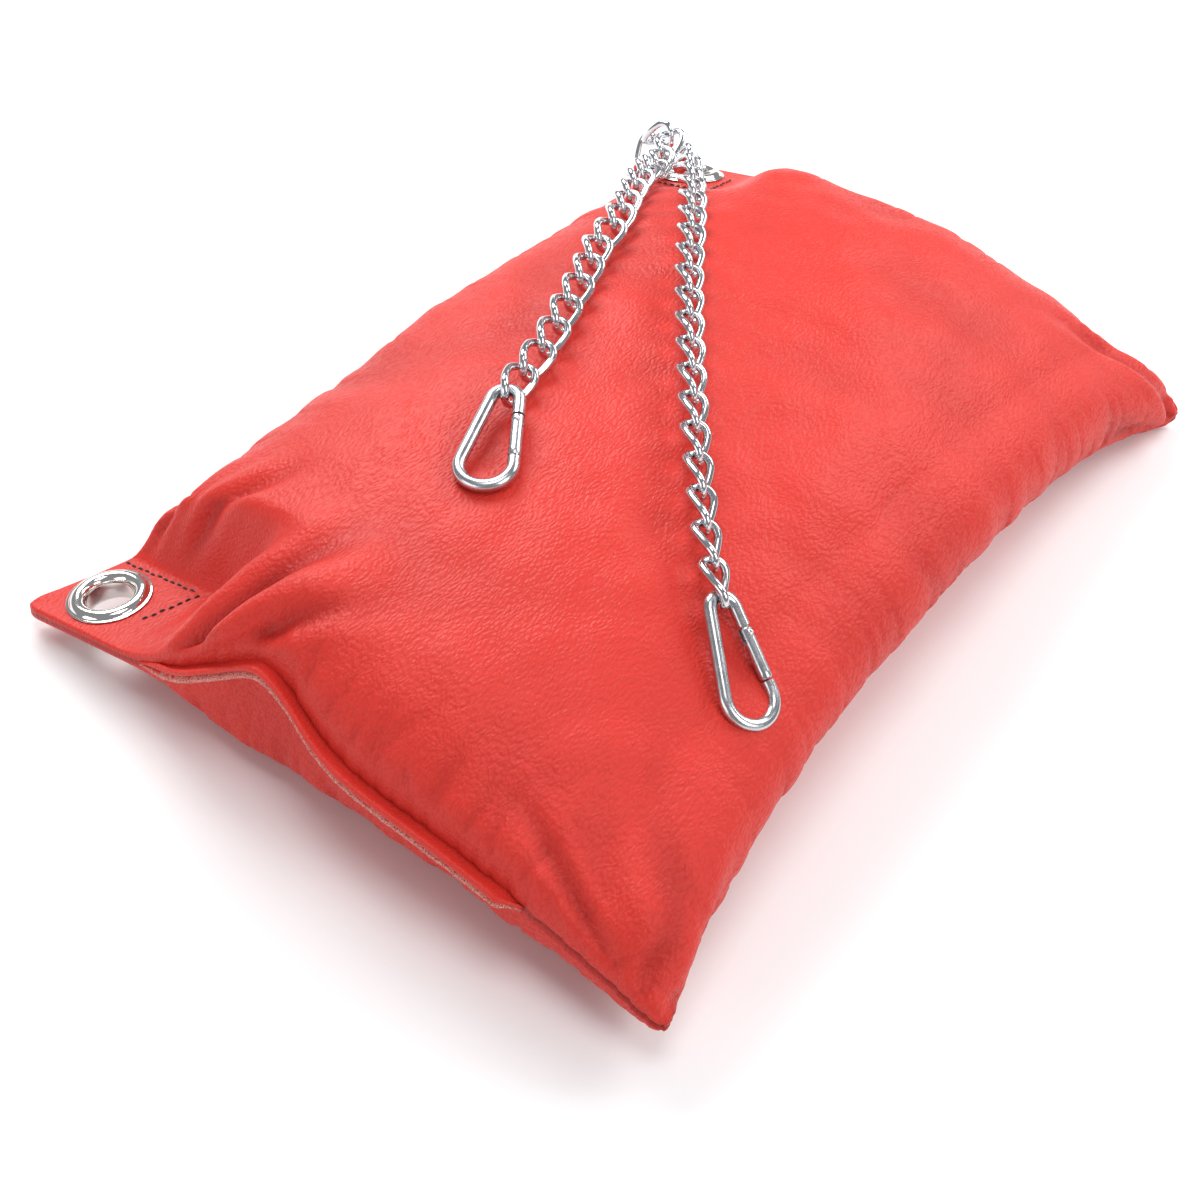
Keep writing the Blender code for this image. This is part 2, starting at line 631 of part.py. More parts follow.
# ---------------------------------------------------------------- origin at the middle of the base
bpy.context.view_layer.update()
graph = bpy.context.evaluated_depsgraph_get()
spots = []
for name in ("cover_top_panel", "cover_bottom_panel", "closing_strip"):
    skin_mesh = bpy.data.meshes.new_from_object(bpy.data.objects[name].evaluated_get(graph))
    spots += [tuple(v.co) for v in skin_mesh.vertices]
    bpy.data.meshes.remove(skin_mesh)
spots = np.array(spots)
SHIFT = -(spots.min(0) + spots.max(0)) / 2
SHIFT[2] = 0.0
for obj in list(parts.objects) + list(cutters.objects):
    obj.matrix_world = Matrix.Translation(Vector(SHIFT)) @ obj.matrix_world
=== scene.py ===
"""Stuffed red leather hanging bag with eyeleted corner flaps, a curb chain and two snap hooks."""

import json
import math

import bmesh
import bpy
import numpy as np
from mathutils import Matrix, Vector, noise


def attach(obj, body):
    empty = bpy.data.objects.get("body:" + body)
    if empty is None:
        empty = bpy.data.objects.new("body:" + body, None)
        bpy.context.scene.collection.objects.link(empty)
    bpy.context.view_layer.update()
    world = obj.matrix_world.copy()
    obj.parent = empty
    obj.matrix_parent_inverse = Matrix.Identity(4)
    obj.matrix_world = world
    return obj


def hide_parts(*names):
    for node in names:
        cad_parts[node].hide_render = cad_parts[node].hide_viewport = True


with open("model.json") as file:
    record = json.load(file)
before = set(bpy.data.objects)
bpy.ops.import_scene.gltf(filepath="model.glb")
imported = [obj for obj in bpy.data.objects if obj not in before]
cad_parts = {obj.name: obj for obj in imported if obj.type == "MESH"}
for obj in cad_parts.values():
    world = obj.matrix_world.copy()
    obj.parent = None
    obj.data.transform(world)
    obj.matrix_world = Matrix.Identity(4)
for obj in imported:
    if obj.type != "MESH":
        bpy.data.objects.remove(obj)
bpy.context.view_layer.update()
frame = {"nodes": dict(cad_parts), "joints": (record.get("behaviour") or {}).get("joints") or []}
scene = bpy.context.scene

# ------------------------------------------------------------------ camera
# A short telephoto view from above the near short side, rolled a little so that the bag lies aslant.
LOOK_AT = np.array([0.0372, -0.1079, 0.0500])
VIEW_TURN, VIEW_RISE, VIEW_ROLL = math.radians(29.80), math.radians(45.13), math.radians(8.18)
VIEW_DISTANCE = 0.8514
LENS_MM, SENSOR_MM, NEAREST_SEEN = 56.67, 36.0, 0.01
back = np.array(
    [
        math.sin(VIEW_TURN) * math.cos(VIEW_RISE),
        -math.cos(VIEW_TURN) * math.cos(VIEW_RISE),
        math.sin(VIEW_RISE),
    ]
)
level = np.array([math.cos(VIEW_TURN), math.sin(VIEW_TURN), 0.0])
upright = np.cross(back, level)
across = math.cos(VIEW_ROLL) * level + math.sin(VIEW_ROLL) * upright
upward = math.cos(VIEW_ROLL) * upright - math.sin(VIEW_ROLL) * level
camera = bpy.data.objects.new("camera", bpy.data.cameras.new("camera"))
scene.collection.objects.link(camera)
camera_place = np.column_stack([across, upward, back, LOOK_AT + back * VIEW_DISTANCE])
camera.matrix_world = Matrix([[*map(float, row)] for row in camera_place] + [[0, 0, 0, 1]])
camera.data.lens, camera.data.sensor_width = LENS_MM, SENSOR_MM
camera.data.clip_start = NEAREST_SEEN
scene.camera = camera

# ------------------------------------------------------------------ floor and studio light
# A white table under five soft boxes, with darker air between them for the metal to mirror. The table lies a hair
# below the bag.
TABLE_HALF, TABLE_WHITE, TABLE_ROUGHNESS, TABLE_DROP = 6.0, 0.93, 0.8, 0.0004
AIR_COLOUR, AIR_LIGHT = (0.94, 0.96, 1.0, 1), 0.30
AIM_HEIGHT = 0.05
scene.view_settings.view_transform = "Standard"
floor_mesh = bpy.data.meshes.new("white_table")
table_corners = [(x * TABLE_HALF, y * TABLE_HALF, 0) for x, y in ((-1, -1), (1, -1), (1, 1), (-1, 1))]
floor_mesh.from_pydata(table_corners, [], [(0, 1, 2, 3)])
floor = bpy.data.objects.new("white_table", floor_mesh)
scene.collection.objects.link(floor)
table_white = bpy.data.materials.new("table_white")
table_white.use_nodes = True
paint = table_white.node_tree.nodes["Principled BSDF"]
paint.inputs["Base Color"].default_value = (TABLE_WHITE, TABLE_WHITE, TABLE_WHITE, 1)
paint.inputs["Roughness"].default_value = TABLE_ROUGHNESS
floor_mesh.materials.append(table_white)
floor.location.z = -TABLE_DROP

world = bpy.data.worlds.new("studio")
world.use_nodes = True
air = world.node_tree.nodes["Background"]
air.inputs["Color"].default_value = AIR_COLOUR
air.inputs["Strength"].default_value = AIR_LIGHT
scene.world = world

for name, place, size, power in (
    ("left_soft_box", (-1.3, 0.6, 1.3), (1.2, 1.0), 31),
    ("back_soft_box", (0.5, 1.6, 1.3), (1.6, 0.8), 22),
    ("right_soft_box", (1.6, -0.2, 1.2), (0.9, 1.1), 13),
    ("top_soft_box", (0.1, -0.3, 2.2), (0.9, 0.9), 12),
    ("front_soft_box", (-0.5, -1.7, 0.55), (1.4, 0.7), 6),
):
    lamp = bpy.data.lights.new(name, "AREA")
    lamp.shape = "RECTANGLE"
    lamp.size, lamp.size_y = size
    lamp.energy = power
    box = bpy.data.objects.new(name, lamp)
    scene.collection.objects.link(box)
    box.location = place
    # a lamp shines along its own -Z
    box.rotation_euler = (Vector(place) - Vector((0, 0, AIM_HEIGHT))).to_track_quat("Z", "Y").to_euler()

# ------------------------------------------------------------------ leather cover
# Two red leather panels sewn round and turned, stuffed hard through the near short side. The seams pucker, and the
# two left corners end in flat flaps that carry the eyelets.
WIDTH, LENGTH = 0.372, 0.535
CROWN, BELLY, SEAM_LIFT = 0.0575, 0.084, 0.0317
SEAM_HALF, FLAP_HALF = 0.0016, 0.0035
FLAP_X, FLAP_Y, FLAP_FAR_Y = 0.064, 0.056, 0.064
FLAP_BLEND, FLAP_STEP, NEAR_FLAP_BLEND = 0.038, 0.022, 0.056
EAR_AT, EAR_WIDTH, EAR_LIFT, EAR_IN = -0.20, 0.185, 0.015, 0.012  # the kink of the near short side
EAR_BACK, EAR_FADE = -0.60, 0.40
PULL_SIDE, PULL_NEAR, PULL_FAR, PULL_CURVE = 0.029, 0.001, 0.013, 3.5  # how far the filled sides draw in
# u runs from -1 at the left seam to 1 at the right one, and v from -1 at the near seam to 1 at the far one
U_FLAP = -1 + 2 * FLAP_X / WIDTH
V_NEAR, V_FAR = -1 + 2 * FLAP_Y / LENGTH, 1 - 2 * FLAP_FAR_Y / LENGTH
# A is the near left corner, B the near right one, C the far right one and D the far left one
CORNER = {
    "A": np.array([-0.491 * WIDTH, -0.482 * LENGTH, 0.010]),
    "B": np.array([0.489 * WIDTH, -0.494 * LENGTH, 0.024]),
    "C": np.array([0.484 * WIDTH, 0.496 * LENGTH, 0.006]),
    "D": np.array([-0.403 * WIDTH, 0.4045 * LENGTH, 0.044]),
}
SLOPE = {"A": (0.22, 0.0), "D": (0.25, -0.25)}
EYELET_AT = {"A": CORNER["A"][:2] + (0.0345, 0.0245), "D": CORNER["D"][:2] + (0.0330, -0.0270)}
LINK_PITCH, LINK_BELOW_FLAP = 0.0190, 0.0090
joints = {j["name"]: j for j in frame["joints"]}


def smooth(x):
    """0 below 0, 1 above 1 and an S curve between."""
    x = np.clip(x, 0.0, 1.0)
    return x * x * (3 - 2 * x)


def unit(v):
    v = np.asarray(v, float)
    return v / np.linalg.norm(v, axis=-1, keepdims=True)


def flap_height(flap, x, y):
    corner, slope = CORNER[flap], SLOPE[flap]
    return corner[2] + slope[0] * (x - corner[0]) + slope[1] * (y - corner[1])


def flap_axes(flap):
    """Centre, x axis, y axis and normal of a corner flap at its eyelet."""
    spot, slope = EYELET_AT[flap], SLOPE[flap]
    n = unit([-slope[0], -slope[1], 1.0])
    x = unit([1.0, 0.0, slope[0]])
    return np.array([*spot, flap_height(flap, *spot)]) + ORIGIN, x, np.cross(n, x), n


# the frame's own origin, found from the first hinge above the far eyelet
ORIGIN = np.zeros(3)
centre, _x, _y, normal = flap_axes("D")
ORIGIN = np.array(joints["hinge_chain_right_link_01"]["pos_m"]) - (centre + normal * (LINK_PITCH - LINK_BELOW_FLAP))
ORIGIN[2] = 0.0


def away_from_flaps(u, v):
    """0 inside a corner flap and 1 away from it, for the near flap and the far flap."""
    side = smooth((u - U_FLAP) * WIDTH / 2 / np.where(v < 0, NEAR_FLAP_BLEND, FLAP_BLEND))
    near = smooth((v - V_NEAR) * LENGTH / 2 / FLAP_STEP)
    far = smooth((V_FAR - v) * LENGTH / 2 / FLAP_BLEND)
    return 1 - (1 - side) * (1 - near), 1 - (1 - side) * (1 - far)


def ear_share(u, v):
    """1 at the peak of the near short side's kink, fading along the seam and toward the middle."""
    return np.exp(-(((u - EAR_AT) / EAR_WIDTH) ** 2)) * smooth((EAR_BACK - v) / EAR_FADE)


def seam_level(u, v):
    """Plan point, height of the seam plane and half of the space between the two panels there."""
    s, t = (u + 1) / 2, (v + 1) / 2
    x, y, z = (
        (CORNER["A"][k] * (1 - s) + CORNER["B"][k] * s) * (1 - t)
        + (CORNER["D"][k] * (1 - s) + CORNER["C"][k] * s) * t
        for k in range(3)
    )
    x = x - u * np.abs(u) * PULL_SIDE * (1 - np.abs(v) ** PULL_CURVE)
    y = y - v * np.abs(v) * np.where(v < 0, PULL_NEAR, PULL_FAR) * (1 - np.abs(u) ** PULL_CURVE)
    near, far = away_from_flaps(u, v)
    ear = ear_share(u, v)
    y = y + EAR_IN * ear
    z = z + SEAM_LIFT * (1 - (u * v) ** 2) + EAR_LIFT * ear
    z = near * z + (1 - near) * flap_height("A", x, y)
    z = far * z + (1 - far) * flap_height("D", x, y)
    closing = smooth((v + 1) / -0.04 + 1) * smooth((0.66 - u) / 0.06)  # the folded flange holds the panels apart
    half = SEAM_HALF + (FLAP_HALF - SEAM_HALF) * np.maximum(1 - near * far, closing)
    return x, y, z, half


FIRST_STEP, STEP_GROWTH, WIDEST_STEP = 0.00002, 1.5, 0.0023


def crowded_lines(length, widest):
    """Grid lines from -1 to 1 that crowd toward both edges."""
    steps, step = [0.0], FIRST_STEP
    while steps[-1] < length / 2:
        steps.append(steps[-1] + step)
        step = min(step * STEP_GROWTH, widest)
    half = np.array(steps) / steps[-1]
    return np.concatenate([half - 1, 1 - half[-2::-1]])


def puckers(along, away, seed, pitch):
    """Narrow folds that run away from a seam: soft pads with a sharp line between them."""
    flat = np.stack([along / pitch, away / (pitch * 3.5), np.full_like(along, seed)], -1).reshape(-1, 3)
    n = np.array([noise.noise(Vector(map(float, p))) for p in flat]).reshape(along.shape)
    return 0.55 * n - 0.75 * np.exp(-((n / 0.07) ** 2))


def swells(x, y, seed, pitch):
    """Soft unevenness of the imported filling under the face."""
    flat = np.stack([x / pitch, y / pitch, np.full_like(x, seed)], -1).reshape(-1, 3)
    return np.array([noise.noise(Vector(map(float, p))) for p in flat]).reshape(x.shape)


def pleat(x, y, start, end, width, depth):
    """One groove with raised lips along a straight line, fading toward its end."""
    start, end = np.array(start), np.array(end)
    way = end - start
    length = np.linalg.norm(way)
    way = way / length
    run = ((x - start[0]) * way[0] + (y - start[1]) * way[1]) / length
    spread = width * (0.55 + 0.9 * np.clip(run, 0, 1))
    off = (-(x - start[0]) * way[1] + (y - start[1]) * way[0]) / spread
    fade = smooth((run + 0.12) / 0.2) * smooth((1.0 - run) / 0.75)
    return depth * fade * (
        -np.exp(-(off**2)) + 0.45 * np.exp(-((off - 1.5) ** 2)) + 0.45 * np.exp(-((off + 1.5) ** 2))
    )


FILL_ACROSS, FILL_ALONG = 0.53, 0.36  # the smaller, the fuller toward the seams
LIP_ROUNDING = 0.0017
LOOSE_FROM = 0.004  # folds fade out this near to a seam
# depth, pitch and reach: puckers along the long and the short seams, then wide and small swells of the face
SIDE_DEPTH, SIDE_PITCH, SIDE_REACH = 0.0034, 0.0165, 0.020
END_DEPTH, END_PITCH, END_REACH = 0.0030, 0.0150, 0.017
SWELL_DEPTH, SWELL_PITCH, SWELL_REACH = 0.0030, 0.055, 0.02
DENT_DEPTH, DENT_PITCH, DENT_REACH = 0.0011, 0.021, 0.01
U, V = np.meshgrid(crowded_lines(WIDTH, WIDEST_STEP), crowded_lines(LENGTH, WIDEST_STEP))
seam_x, seam_y, seam_z, half = seam_level(U, V)
near_mask, far_mask = away_from_flaps(U, V)
filling = np.maximum(1 - U * U, 0) ** FILL_ACROSS * np.maximum(1 - V * V, 0) ** FILL_ALONG * near_mask * far_mask
from_side = (1 - np.abs(U)) * WIDTH / 2
from_end = (1 - np.abs(V)) * LENGTH / 2
from_edge = np.minimum(from_side, from_end)
rounding = np.minimum(half, LIP_ROUNDING)
lip = half - rounding + rounding * np.sqrt(np.maximum(1 - (1 - np.minimum(from_edge / rounding, 1)) ** 2, 0))
loose = near_mask * far_mask * smooth(from_edge / LOOSE_FROM)
folds = {}
for layer, seed in (("top", 1.0), ("bottom", 9.0)):
    side_seed, end_seed = seed + (U > 0) * 5.0, seed + 11 + (V > 0) * 5.0
    fold = SIDE_DEPTH * puckers(seam_y, from_side, side_seed, SIDE_PITCH) * np.exp(-from_side / SIDE_REACH)
    fold += END_DEPTH * puckers(seam_x, from_end, end_seed, END_PITCH) * np.exp(-from_end / END_REACH)
    fold += SWELL_DEPTH * swells(seam_x, seam_y, seed + 21, SWELL_PITCH) * smooth(from_edge / SWELL_REACH)
    fold += DENT_DEPTH * swells(seam_x, seam_y, seed + 25, DENT_PITCH) * smooth(from_edge / DENT_REACH)
    folds[layer] = fold * loose
# pleats of the upper panel: start, end, width and depth, first those that fan out from the near flap, then the near
# right corner's and the far right corner's
flap_x, flap_y = -0.5 * WIDTH + FLAP_X, -0.5 * LENGTH + FLAP_Y
for start, end, width, depth in (
    ((flap_x - 0.004, -0.240), (flap_x + 0.050, -0.190), 0.0055, 0.0062),
    ((flap_x + 0.012, -0.252), (flap_x + 0.045, -0.215), 0.0050, 0.0050),
    ((flap_x + 0.041, -0.262), (flap_x + 0.085, -0.170), 0.0090, 0.0105),
    ((flap_x + 0.058, -0.262), (flap_x + 0.120, -0.205), 0.0060, 0.0050),
    ((flap_x - 0.010, flap_y + 0.008), (flap_x + 0.040, flap_y + 0.062), 0.0070, 0.0045),
    ((flap_x - 0.032, flap_y + 0.006), (flap_x - 0.018, flap_y + 0.070), 0.0060, 0.0045),
    ((0.163, -0.258), (0.110, -0.175), 0.0070, 0.0034),
    ((0.168, -0.235), (0.140, -0.160), 0.0050, 0.0024),
    ((0.150, -0.262), (0.070, -0.235), 0.0045, 0.0036),
    ((0.170, 0.250), (0.085, 0.190), 0.0065, 0.0042),
    ((0.172, 0.238), (0.140, 0.150), 0.0060, 0.0040),
):
    folds["top"] = folds["top"] + pleat(seam_x, seam_y, start, end, width, depth) * loose

top = np.stack([seam_x, seam_y, seam_z + lip + CROWN * filling], -1)
# only the upper panel follows the kink: the lower one goes straight on from the seam
BELLY_BEHIND, BELLY_REACH = 0.004, 0.0035
ear = ear_share(U, V) * (1 - np.exp(-from_end / BELLY_REACH))
belly_y, belly_z = seam_y - (EAR_IN + BELLY_BEHIND) * ear, seam_z - EAR_LIFT * ear
low = np.stack([seam_x, belly_y, np.maximum(belly_z - lip - BELLY * filling, 0.0)], -1)
outward = np.stack([np.sign(U) * np.abs(U) ** 24, np.sign(V) * np.abs(V) ** 24, np.zeros_like(U)], -1)
outward /= np.maximum(np.linalg.norm(outward, axis=-1, keepdims=True), 0.25)
TIP_ROUND = 0.0115  # the turned tips are round in plan
across_tip, along_tip = np.clip(1 - from_side / TIP_ROUND, 0, 1), np.clip(1 - from_end / TIP_ROUND, 0, 1)
long_way = np.hypot(across_tip, along_tip)
shrink = np.where(long_way > 0, 1 - np.maximum(across_tip, along_tip) / np.maximum(long_way, 1e-9), 0)
for skin in (top, low):
    skin[..., 0] -= np.sign(U) * across_tip * shrink * TIP_ROUND
    skin[..., 1] -= np.sign(V) * along_tip * shrink * TIP_ROUND
# folds lift the face; the seam itself sits in a groove and is gathered by its stitches
SEAM_GROOVE, GROOVE_REACH = 0.0013, 0.0011
GATHER_DEPTH, GATHER_PITCH, GATHER_REACH = 0.0010, 0.0085, 0.004
gathers = GATHER_DEPTH * puckers(seam_x + seam_y, from_edge * 0, 31.0, GATHER_PITCH)
ripple = gathers * np.exp(-from_edge / GATHER_REACH) * near_mask * far_mask
for skin, layer, side in ((top, "top", 1), (low, "bottom", -1)):
    du, dv = np.gradient(skin, axis=1), np.gradient(skin, axis=0)
    face = np.cross(du, dv)
    face /= np.maximum(np.linalg.norm(face, axis=-1, keepdims=True), 1e-12)
    drop = np.abs(skin[..., 2:] - seam_z[..., None])
    ease = smooth(drop / 0.006) if layer == "top" else smooth(drop / 0.006) * smooth(skin[..., 2:] / 0.004)
    skin += face * side * folds[layer][..., None] * ease
    skin -= outward * SEAM_GROOVE * np.exp(-((drop / GROOVE_REACH) ** 2))
    skin += outward * ripple[..., None]
# the right long seam is rolled under by the filling, so that the upper panel makes the side
ROLL_UNDER, ROLL_IN, ROLL_WHOLE, ROLL_REACH = math.radians(44), 0.014, 0.012, 0.034
along_side = smooth((1 - np.abs(V)) / 0.10)
hub_x, hub_z = seam_x[:, -1:] - ROLL_IN, seam_z[:, -1:]
for skin in (top, low):
    apart = np.hypot(skin[..., 0] - hub_x, skin[..., 2] - hub_z)
    turn = -ROLL_UNDER * along_side * (U > 0.3) * (1 - smooth((apart - ROLL_WHOLE) / ROLL_REACH))
    dx, dz = skin[..., 0] - hub_x, skin[..., 2] - hub_z
    skin[..., 0] = hub_x + dx * np.cos(turn) - dz * np.sin(turn)
    skin[..., 2] = hub_z + dx * np.sin(turn) + dz * np.cos(turn)
low[..., 2] = np.maximum(low[..., 2], 0.0)

# one closed skin: both panels share the points of the seam, and the eyelets' holes are punched through both
HOLE_IN_LEATHER = 0.0145
rows, columns = U.shape
index = np.arange(rows * columns).reshape(rows, columns)
rim = np.zeros_like(U, bool)
rim[0], rim[-1], rim[:, 0], rim[:, -1] = True, True, True, True
middle = (top + low) / 2
top[rim] = low[rim] = middle[rim]
low_index = index + rows * columns
low_index[rim] = index[rim]
mid_x = (seam_x[:-1, :-1] + seam_x[1:, 1:]) / 2
mid_y = (seam_y[:-1, :-1] + seam_y[1:, 1:]) / 2
kept = np.ones_like(mid_x, bool)
for flap in "AD":
    kept &= np.hypot(mid_x - EYELET_AT[flap][0], mid_y - EYELET_AT[flap][1]) > HOLE_IN_LEATHER
faces = []
for net, turned_over in ((index, False), (low_index, True)):
    quads = np.stack([net[:-1, :-1], net[:-1, 1:], net[1:, 1:], net[1:, :-1]], -1)[kept]
    faces += (quads[:, ::-1] if turned_over else quads).tolist()
for j, i in zip(*np.nonzero(~kept)):  # walls of the punched holes, where a cut cell meets a kept one
    for near_by, (a, b) in (
        ((j - 1, i), ((j, i), (j, i + 1))),
        ((j + 1, i), ((j + 1, i + 1), (j + 1, i))),
        ((j, i - 1), ((j + 1, i), (j, i))),
        ((j, i + 1), ((j, i + 1), (j + 1, i + 1))),
    ):
        if kept[near_by]:
            faces.append([int(index[b]), int(index[a]), int(low_index[a]), int(low_index[b])])


def mesh_piece(name, points, faces, material, smooth_faces=True):
    """An object with its faces turned outward and its loose points dropped."""
    mesh = bpy.data.meshes.new(name)
    mesh.from_pydata([tuple(map(float, p)) for p in points], [], faces)
    work = bmesh.new()
    work.from_mesh(mesh)
    bmesh.ops.delete(work, geom=[v for v in work.verts if not v.link_faces], context="VERTS")
    bmesh.ops.recalc_face_normals(work, faces=work.faces)
    work.to_mesh(mesh)
    work.free()
    mesh.polygons.foreach_set("use_smooth", [smooth_faces] * len(mesh.polygons))
    mesh.materials.append(material)
    piece = bpy.data.objects.new(name, mesh)
    scene.collection.objects.link(piece)
    return piece


def new_material(name, colour, metallic, roughness):
    """A Principled material, with its node tree and its shader."""
    made = bpy.data.materials.new(name)
    made.use_nodes = True
    shader = made.node_tree.nodes["Principled BSDF"]
    shader.inputs["Base Color"].default_value = (*colour, 1)
    shader.inputs["Metallic"].default_value = metallic
    shader.inputs["Roughness"].default_value = roughness
    return made, made.node_tree, shader


def node(tree, kind, at, **settings):
    """A shader node, with each setting given to the input or the property of that name."""
    made = tree.nodes.new(kind)
    made.location = at
    for key, value in settings.items():
        if key in made.inputs.keys():
            made.inputs[key].default_value = value
        else:
            setattr(made, key, value)
    return made


# pebbled grain: soft domes drawn long by the stretch of the hide; where it is gathered, small wrinkles join in
grain = bpy.data.node_groups.new("pebbled_grain", "ShaderNodeTree")
grain.interface.new_socket("Position", in_out="INPUT", socket_type="NodeSocketVector")
grain.interface.new_socket("Gathered", in_out="INPUT", socket_type="NodeSocketFloat")
grain.interface.new_socket("Height", in_out="OUTPUT", socket_type="NodeSocketFloat")
grain.interface.new_socket("Lines", in_out="OUTPUT", socket_type="NodeSocketFloat")
into = node(grain, "NodeGroupInput", (-1100, 0))
out = node(grain, "NodeGroupOutput", (900, 0))
wander = node(grain, "ShaderNodeTexNoise", (-900, -200), Scale=70.0, Detail=3.0)
bend = node(grain, "ShaderNodeVectorMath", (-650, -100), operation="MULTIPLY_ADD")
bend.inputs[1].default_value = (0.006, 0.006, 0.006)
stretch = node(grain, "ShaderNodeVectorMath", (-450, -100), operation="MULTIPLY")
stretch.inputs[1].default_value = (1.0, 0.52, 0.8)
domes = node(grain, "ShaderNodeTexVoronoi", (-250, 200), feature="SMOOTH_F1", Scale=760.0, Smoothness=0.30)
wrinkles = node(grain, "ShaderNodeTexNoise", (-250, -150), Scale=420.0, Detail=4.0, Roughness=0.62)
wrinkle_share = node(grain, "ShaderNodeMath", (50, -150), operation="MULTIPLY")
dome_height = node(grain, "ShaderNodeMath", (50, 200), operation="MULTIPLY")
dome_height.inputs[1].default_value = -0.55
total = node(grain, "ShaderNodeMath", (350, 0), operation="ADD")
valley = node(grain, "ShaderNodeMapRange", (350, 300), interpolation_type="SMOOTHSTEP")
valley.inputs["From Min"].default_value, valley.inputs["From Max"].default_value = 0.42, 0.80
lines = node(grain, "ShaderNodeMath", (600, 200), operation="MULTIPLY")
link = grain.links.new
link(into.outputs["Position"], wander.inputs["Vector"])
link(wander.outputs["Color"], bend.inputs[0])
link(into.outputs["Position"], bend.inputs[2])
link(bend.outputs["Vector"], stretch.inputs[0])
link(stretch.outputs["Vector"], domes.inputs["Vector"])
link(stretch.outputs["Vector"], wrinkles.inputs["Vector"])
link(wrinkles.outputs["Fac"], wrinkle_share.inputs[0])
link(into.outputs["Gathered"], wrinkle_share.inputs[1])
link(domes.outputs["Distance"], dome_height.inputs[0])
link(dome_height.outputs["Value"], total.inputs[0])
link(wrinkle_share.outputs["Value"], total.inputs[1])
link(domes.outputs["Distance"], valley.inputs["Value"])
link(valley.outputs["Result"], lines.inputs[0])
link(into.outputs["Gathered"], lines.inputs[1])
link(total.outputs["Value"], out.inputs["Height"])
link(lines.outputs["Value"], out.inputs["Lines"])


GRAIN_RELIEF, LEATHER_SPECULAR = 0.00085, 0.26


def leather(name, light, painted_shade_colour, roughness, bump):
    """Dyed hide: colour deepening in the grain, painted shade in the folds and seam groove, and a satin face."""
    made, tree, shader = new_material(name, light, 0.0, roughness)
    place = node(tree, "ShaderNodeTexCoord", (-1100, 0))
    skin_grain = node(tree, "ShaderNodeGroup", (-800, -200), node_tree=grain)
    gathered = node(tree, "ShaderNodeAttribute", (-1100, -300), attribute_name="gathered")
    cloud = node(tree, "ShaderNodeTexNoise", (-800, 300), Scale=14.0, Detail=4.0)
    # painted shade: this attribute pulls the colour toward the dark red in fold hollows and the seam groove
    fold_depth = node(tree, "ShaderNodeAttribute", (-800, 500), attribute_name="fold_depth")
    sum_up = node(tree, "ShaderNodeMath", (-550, 300), operation="MULTIPLY_ADD")
    sum_up.inputs[1].default_value = 0.06
    grain_share = node(tree, "ShaderNodeMath", (-350, 200), operation="MULTIPLY_ADD")
    grain_share.inputs[1].default_value = 0.13
    ramp = node(tree, "ShaderNodeValToRGB", (-150, 300))
    ramp.color_ramp.elements[0].position, ramp.color_ramp.elements[0].color = 0.0, (*light, 1)
    ramp.color_ramp.elements[1].position, ramp.color_ramp.elements[1].color = 1.0, (*painted_shade_colour, 1)
    rough_range = node(tree, "ShaderNodeMapRange", (-150, 0))
    rough_range.inputs["To Min"].default_value = roughness
    rough_range.inputs["To Max"].default_value = roughness + 0.15
    lift = node(tree, "ShaderNodeBump", (-150, -300), Distance=GRAIN_RELIEF, Strength=bump)
    join = tree.links.new
    join(place.outputs["Object"], skin_grain.inputs["Position"])
    join(place.outputs["Object"], cloud.inputs["Vector"])
    join(cloud.outputs["Fac"], sum_up.inputs[0])
    join(fold_depth.outputs["Fac"], sum_up.inputs[2])
    join(gathered.outputs["Fac"], skin_grain.inputs["Gathered"])
    join(skin_grain.outputs["Lines"], grain_share.inputs[0])
    join(sum_up.outputs["Value"], grain_share.inputs[2])
    join(grain_share.outputs["Value"], ramp.inputs["Fac"])
    join(ramp.outputs["Color"], shader.inputs["Base Color"])
    join(skin_grain.outputs["Lines"], rough_range.inputs["Value"])
    join(rough_range.outputs["Result"], shader.inputs["Roughness"])
    join(skin_grain.outputs["Height"], lift.inputs["Height"])
    join(lift.outputs["Normal"], shader.inputs["Normal"])
    shader.inputs["Specular IOR Level"].default_value = LEATHER_SPECULAR
    return made


# the second red is painted shade, put into the fold hollows and the seam groove
RED, RED_PAINTED_SHADE = (0.66, 0.036, 0.025), (0.26, 0.008, 0.006)
SATIN, GRAIN_BUMP = 0.42, 0.80
FOLD_SHADE_DEPTH, SEAM_GATHER_REACH = 0.006, 0.055
red_leather = leather("red_leather", RED, RED_PAINTED_SHADE, SATIN, GRAIN_BUMP)
points = np.concatenate([top.reshape(-1, 3), low.reshape(-1, 3)]) + ORIGIN
cover = mesh_piece("leather_cover", points, faces, red_leather)
# painted shade: the seam groove and the fold hollows get a darker red, stored on the points
groove = np.exp(-((np.abs(top[..., 2] - seam_z) / 0.0016) ** 2)) * np.exp(-from_edge / 0.003)
in_fold = {layer: np.clip(-folds[layer] / FOLD_SHADE_DEPTH, 0, 1) for layer in ("top", "bottom")}
fold_shade = np.concatenate([(in_fold[layer] * 0.55 + groove * 0.8).ravel() for layer in ("top", "bottom")])
used = np.unique([k for f in faces for k in f])
near_a_seam = 0.22 + 0.78 * np.exp(-((from_edge / SEAM_GATHER_REACH) ** 2)) * near_mask * far_mask
near_a_seam = np.clip(near_a_seam + 0.5 * in_fold["top"], 0, 1)
for name, values in (("fold_depth", fold_shade), ("gathered", np.tile(near_a_seam.ravel(), 2))):
    layer = cover.data.attributes.new(name, "FLOAT", "POINT")
    layer.data.foreach_set("value", values[used].astype(np.float32))
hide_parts("cover_top_panel", "cover_bottom_panel", "stuffing")
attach(cover, "bag")

